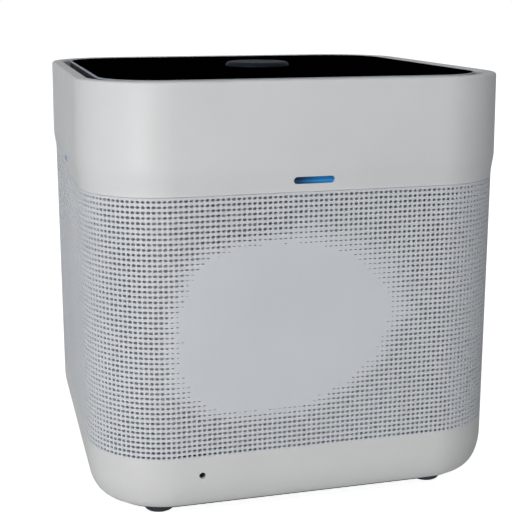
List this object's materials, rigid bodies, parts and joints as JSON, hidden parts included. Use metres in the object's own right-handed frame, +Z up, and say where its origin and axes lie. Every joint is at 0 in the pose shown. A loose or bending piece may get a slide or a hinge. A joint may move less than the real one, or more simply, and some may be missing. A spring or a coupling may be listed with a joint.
{
  "type": "air purifier",
  "caption": "Cube-shaped tabletop air purifier: perforated lower housing round a cylindrical filter, lift-off fan head with a perimeter outlet slot, glossy top plate and round button.",
  "frame": {"origin": "on the floor, under the middle of the body", "axes": "+Z up, the front with the light bar faces -Y, +X is to the right seen from the front"},
  "size_m": [0.2612, 0.2612, 0.2653],
  "materials": {
    "white_plastic": "fine satin moulded plastic",
    "glass_black": "high gloss",
    "dark_plastic": "satin",
    "grey_plastic": "satin",
    "button_grey": "fine satin",
    "rubber": "matte",
    "cap_blue_grey": "satin",
    "paper": "pleated melt-blown media",
    "fleece": "white non-woven fleece",
    "webbing": "woven strap",
    "foam": "closed-cell foam",
    "steel": "brushed",
    "laminations": "varnished lamination stack",
    "copper": "enamelled winding",
    "brass": "turned",
    "ferrite": "sintered",
    "board": "solder-masked circuit board",
    "blue_lens": "frosted light pipe"
  },
  "bodies": {
    "housing": {"lower_housing": "white_plastic", "grille_front": "white_plastic", "grille_rear": "white_plastic", "grille_left": "white_plastic", "grille_right": "white_plastic", "base_plate": "dark_plastic", "foot_front_left": "rubber", "foot_front_right": "rubber", "foot_rear_left": "rubber", "foot_rear_right": "rubber", "base_screws": "steel", "dust_sensor": "dark_plastic", "filter_seat": "grey_plastic"},
    "filter": {"filter_media": "paper", "filter_fleece": "fleece", "filter_core": "dark_plastic", "filter_cap_top": "cap_blue_grey", "filter_cap_bottom": "cap_blue_grey", "filter_gasket": "foam", "filter_strap": "webbing"},
    "head": {"upper_shell": "white_plastic", "fan_deck": "grey_plastic", "inlet_ring": "grey_plastic", "inlet_guard": "grey_plastic", "deck_posts": "grey_plastic", "motor_bracket": "steel", "bearing_tube": "brass", "motor_bearings": "steel", "motor_stator": "laminations", "motor_coils": "copper", "bracket_screws": "steel", "outlet_grille": "dark_plastic", "plate_frame": "dark_plastic", "top_plate": "glass_black", "control_board": "board", "button_switch": "dark_plastic", "main_board": "board", "board_parts": "dark_plastic", "light_bar_front": "blue_lens", "light_bar_left": "blue_lens", "light_bar_right": "blue_lens", "light_boards": "board", "mains_inlet": "dark_plastic", "inlet_pins": "steel"},
    "rotor": {"impeller": "grey_plastic", "rotor_cup": "steel", "magnet_ring": "ferrite", "motor_shaft": "steel"},
    "button": {"control_button": "button_grey"}
  },
  "joints": [
    {"name": "head_lift", "type": "slide", "parent": "housing", "child": "head", "axis": [0, 0, 1], "range_m": [0, 0.4]},
    {"name": "filter_lift", "type": "slide", "parent": "housing", "child": "filter", "axis": [0, 0, 1], "range_m": [0, 0.19]},
    {"name": "fan_spin", "type": "hinge", "parent": "head", "child": "rotor", "pos_m": [0, 0, 0.22], "axis": [0, 0, 1], "continuous": true},
    {"name": "button_press", "type": "slide", "parent": "head", "child": "button", "axis": [0, 0, -1], "range_m": [0, 0.0008], "stiffness_N_per_m": 900, "springref_m": -0.0007}
  ],
  "couplings": [
    {"joint": "filter_lift", "follows": "head_lift", "ratio": 0.475}
  ]
}
